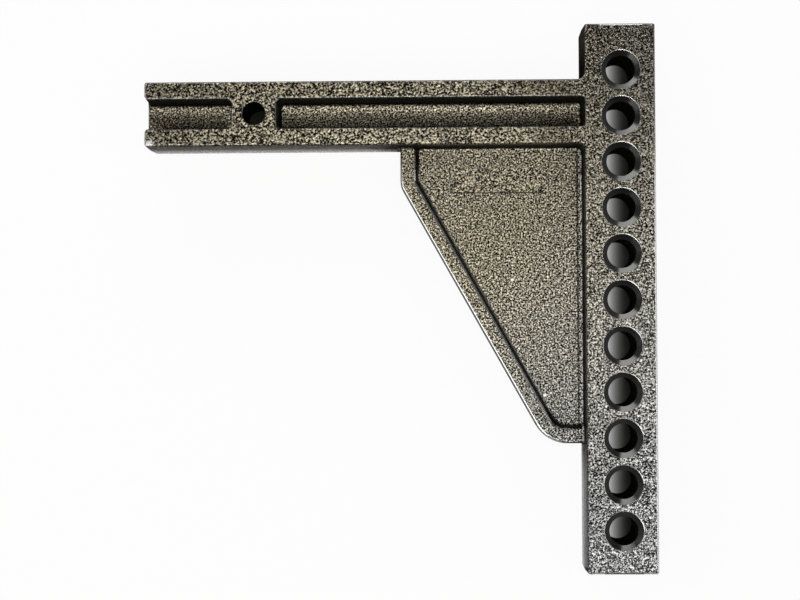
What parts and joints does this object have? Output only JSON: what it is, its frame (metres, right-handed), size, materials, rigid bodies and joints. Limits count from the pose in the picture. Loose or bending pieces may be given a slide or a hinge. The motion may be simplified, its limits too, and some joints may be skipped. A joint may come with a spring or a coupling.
{
  "type": "adjustable hitch bar",
  "caption": "Cast adjustable hitch bar: a square pocketed shank with a pin hole, a tall column with a row of countersunk bolt holes, and a webbed gusset.",
  "frame": {"origin": "centre of the hitch pin hole, half way through the casting", "axes": "+X along the shank towards the column, +Y up the column, +Z along the axes of all the holes, out of the side that the picture shows"},
  "size_m": [0.3907, 0.4185, 0.05],
  "materials": {
    "hammertone_coat": "silver-vein hammertone powder coat on cast iron"
  },
  "bodies": {
    "root": {"hitch_bar": "hammertone_coat"}
  },
  "joints": []
}
